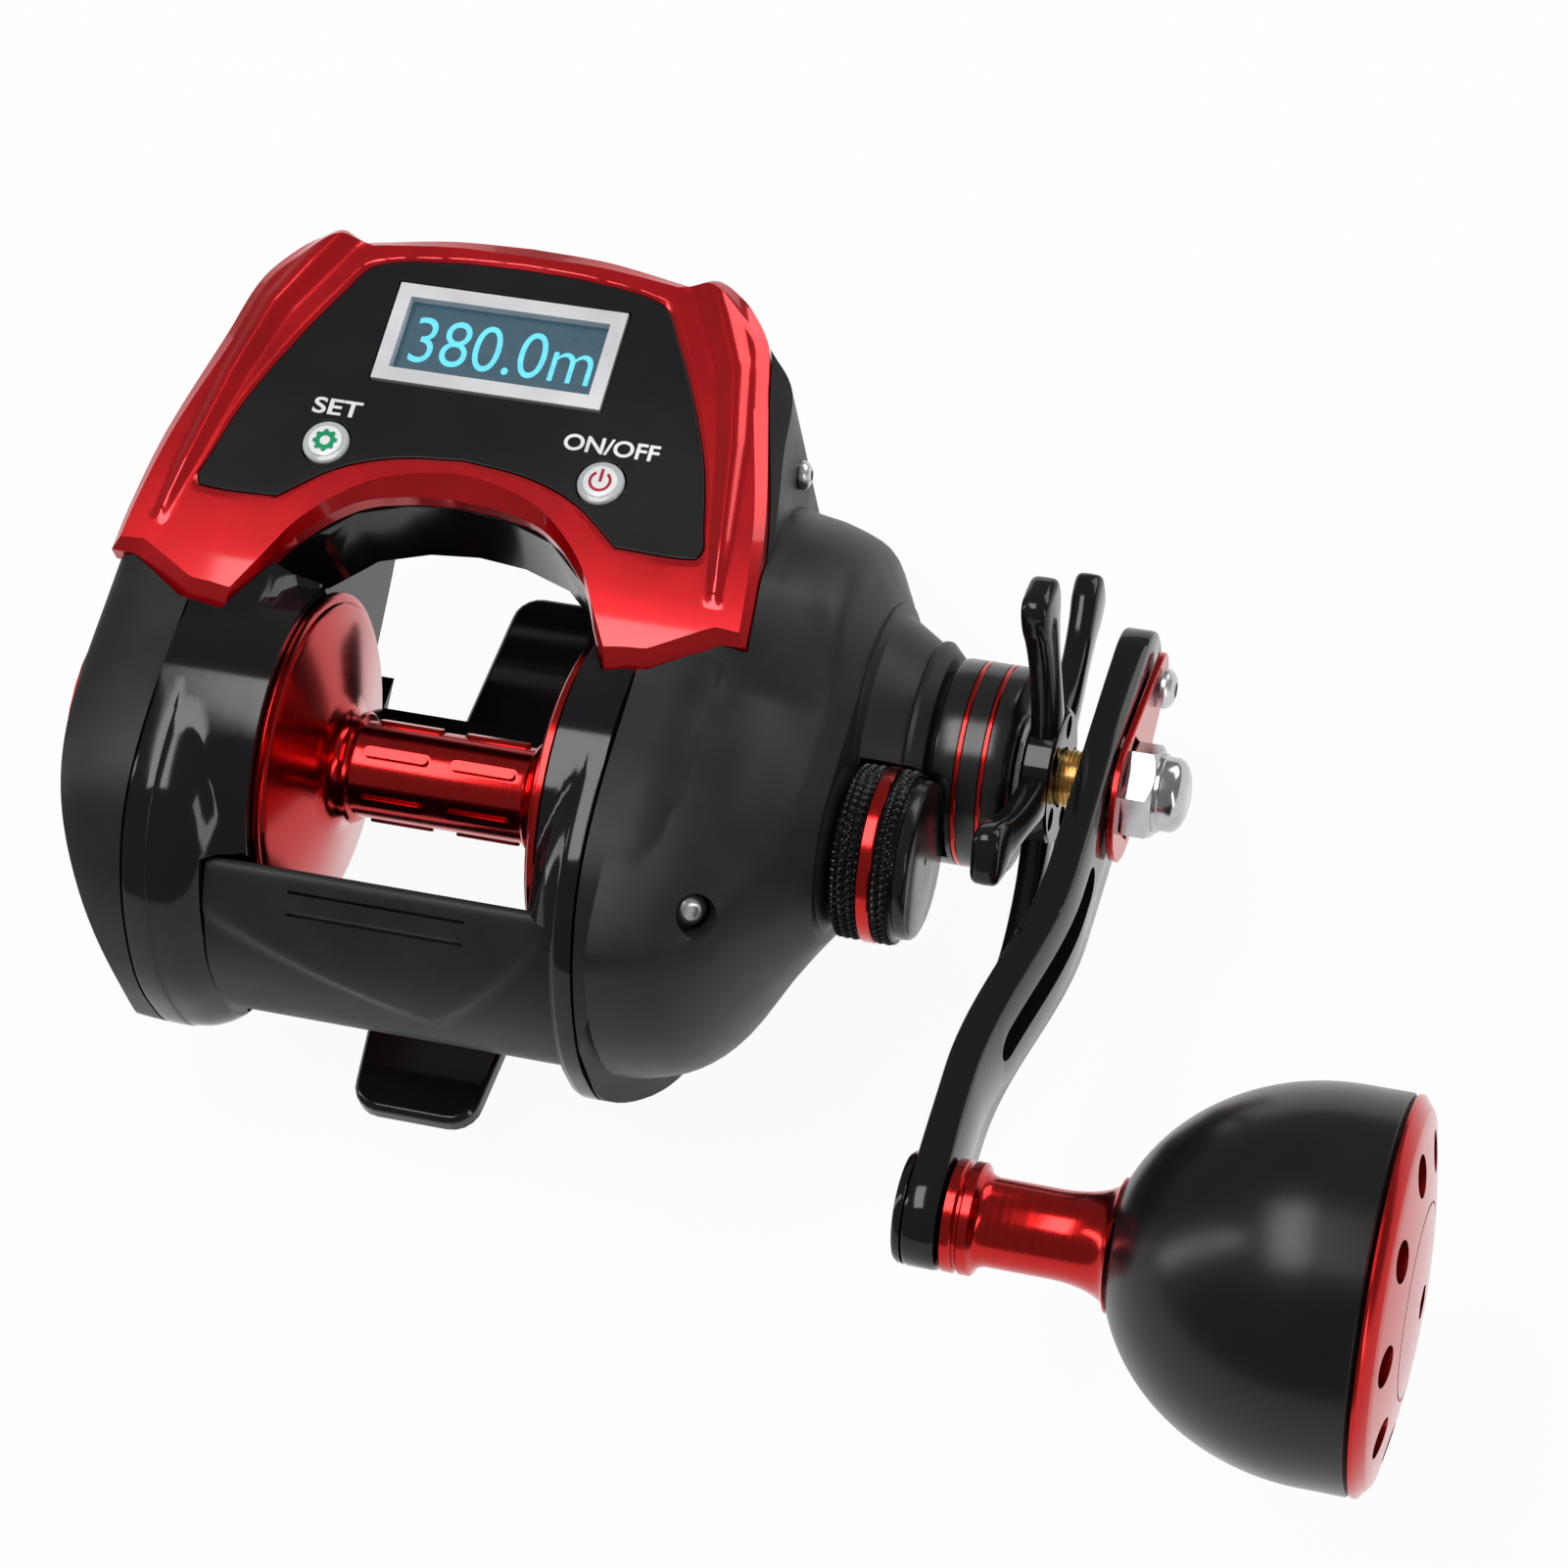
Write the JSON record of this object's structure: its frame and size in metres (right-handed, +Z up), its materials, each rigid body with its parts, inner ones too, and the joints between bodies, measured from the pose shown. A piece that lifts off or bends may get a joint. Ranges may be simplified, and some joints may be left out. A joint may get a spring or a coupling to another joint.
{
  "type": "digital baitcasting fishing reel",
  "caption": "Low-profile baitcasting reel with a display head over the front, side covers, spool, thumb bar, star drag and single handle with a ball knob.",
  "frame": {"origin": "on the underside of the front foot tab, in the middle plane of the spool, where the reel sits on its rod", "axes": "+X along the spool axis towards the handle, +Y forward towards the rod tip, +Z up through the display"},
  "size_m": [0.1523, 0.1147, 0.0566],
  "materials": {
    "gloss_black": "piano-black lacquer, smooth",
    "matte_black": "fine satin black moulding",
    "anodised_red": "bright red anodised, turned",
    "steel": "turned stainless steel",
    "brass": "turned brass",
    "nylon": "natural nylon",
    "carbon": "woven carbon friction facing",
    "anodised_black": "black anodised, lightly turned",
    "chrome": "polished chrome",
    "ceramic": "glazed pale ceramic",
    "trim_red": "glossy deep red lacquer",
    "window_silver": "satin silver border",
    "display_glass": "dark tinted display glass",
    "board_green": "green coated board",
    "button_silver": "pearly silver-white dome"
  },
  "bodies": {
    "reel_body": {"frame": "gloss_black", "foot_front": "gloss_black", "foot_rear": "gloss_black", "left_cover": "matte_black", "right_cover": "matte_black", "display_housing": "gloss_black", "display_trim": "trim_red", "display_panel": "gloss_black", "window_frame": "window_silver", "display_module": "display_glass", "circuit_board": "board_green", "battery_cell": "steel", "spool_bearing_left": "steel", "spool_bearing_right": "steel", "one_way_bearing": "steel", "drive_collar": "anodised_black", "guide_rail": "steel", "tension_pad": "nylon"},
    "brake_body": {"brake_dial": "matte_black", "brake_dial_ring": "anodised_red", "magnet_ring": "steel"},
    "spool_body": {"spool": "anodised_red", "spool_shaft": "steel", "sensor_magnet": "steel"},
    "yoke_body": {"clutch_yoke": "nylon"},
    "pinion_body": {"pinion": "brass"},
    "crank_body": {"drive_shaft": "brass", "levelwind_gear": "nylon", "handle_arm": "gloss_black", "lock_plate": "anodised_red", "lock_screw": "steel", "handle_nut": "chrome", "knob_spindle": "steel", "clutch_sleeve": "steel", "pressure_plate": "steel", "drag_washer": "carbon", "spring_washer": "steel"},
    "gear_body": {"drive_gear": "brass"},
    "star_body": {"star_drag": "gloss_black"},
    "knob_turn_body": {"knob_stem": "anodised_red", "knob_body": "gloss_black", "knob_cap": "anodised_red", "knob_bearing": "steel"},
    "worm_body": {"worm_shaft": "steel", "worm_gear": "nylon"},
    "guide_body": {"line_guide": "matte_black", "guide_eyelet": "ceramic"},
    "tension_body": {"tension_knob": "anodised_black", "tension_band": "anodised_red"},
    "thumb_body": {"thumb_bar": "matte_black"},
    "set_button_body": {"set_button": "button_silver"},
    "power_button_body": {"power_button": "button_silver"}
  },
  "joints": [
    {"name": "handle_turn", "type": "hinge", "parent": "reel_body", "child": "crank_body", "pos_m": [0, -0.0108, 0.01662], "axis": [1, 0, 0], "continuous": true},
    {"name": "gear_turn", "type": "hinge", "parent": "reel_body", "child": "gear_body", "pos_m": [0, -0.0108, 0.01662], "axis": [1, 0, 0], "continuous": true},
    {"name": "spool_spin", "type": "hinge", "parent": "reel_body", "child": "spool_body", "pos_m": [0, -0.027, 0.0232], "axis": [1, 0, 0], "continuous": true},
    {"name": "yoke_slide", "type": "slide", "parent": "reel_body", "child": "yoke_body", "axis": [1, 0, 0], "range_m": [0, 0.0014]},
    {"name": "pinion_spin", "type": "hinge", "parent": "yoke_body", "child": "pinion_body", "pos_m": [0, -0.027, 0.0232], "axis": [1, 0, 0], "continuous": true},
    {"name": "worm_turn", "type": "hinge", "parent": "reel_body", "child": "worm_body", "pos_m": [0, 0.0084, 0.02001], "axis": [1, 0, 0], "continuous": true},
    {"name": "guide_slide", "type": "slide", "parent": "reel_body", "child": "guide_body", "axis": [1, 0, 0], "range_m": [-0.0135, 0.0105]},
    {"name": "star_turn", "type": "hinge", "parent": "crank_body", "child": "star_body", "pos_m": [0, -0.0108, 0.01662], "axis": [1, 0, 0], "range_deg": [-120, 120]},
    {"name": "knob_spin", "type": "hinge", "parent": "crank_body", "child": "knob_turn_body", "pos_m": [0, -0.06699, 0.0262], "axis": [1, 0, 0], "continuous": true},
    {"name": "tension_turn", "type": "hinge", "parent": "reel_body", "child": "tension_body", "pos_m": [0, -0.027, 0.0232], "axis": [1, 0, 0], "range_deg": [-180, 180]},
    {"name": "brake_turn", "type": "hinge", "parent": "reel_body", "child": "brake_body", "pos_m": [0, -0.027, 0.0232], "axis": [1, 0, 0], "range_deg": [0, 270]},
    {"name": "thumb_press", "type": "slide", "parent": "reel_body", "child": "thumb_body", "axis": [0, -0.1736, -0.9848], "range_m": [0, 0.0036]},
    {"name": "set_press", "type": "slide", "parent": "reel_body", "child": "set_button_body", "axis": [0, 0.0698, -0.9976], "range_m": [0, 0.0004], "stiffness_N_per_m": 400},
    {"name": "power_press", "type": "slide", "parent": "reel_body", "child": "power_button_body", "axis": [0, 0.0698, -0.9976], "range_m": [0, 0.0004], "stiffness_N_per_m": 400}
  ],
  "couplings": [
    {"joint": "gear_turn", "follows": "handle_turn", "ratio": 1},
    {"joint": "spool_spin", "follows": "handle_turn", "ratio": -5.2857},
    {"joint": "pinion_spin", "follows": "handle_turn", "ratio": -5.2857},
    {"joint": "worm_turn", "follows": "handle_turn", "ratio": -2.5714},
    {"joint": "yoke_slide", "follows": "thumb_press", "ratio": 0.38889}
  ]
}
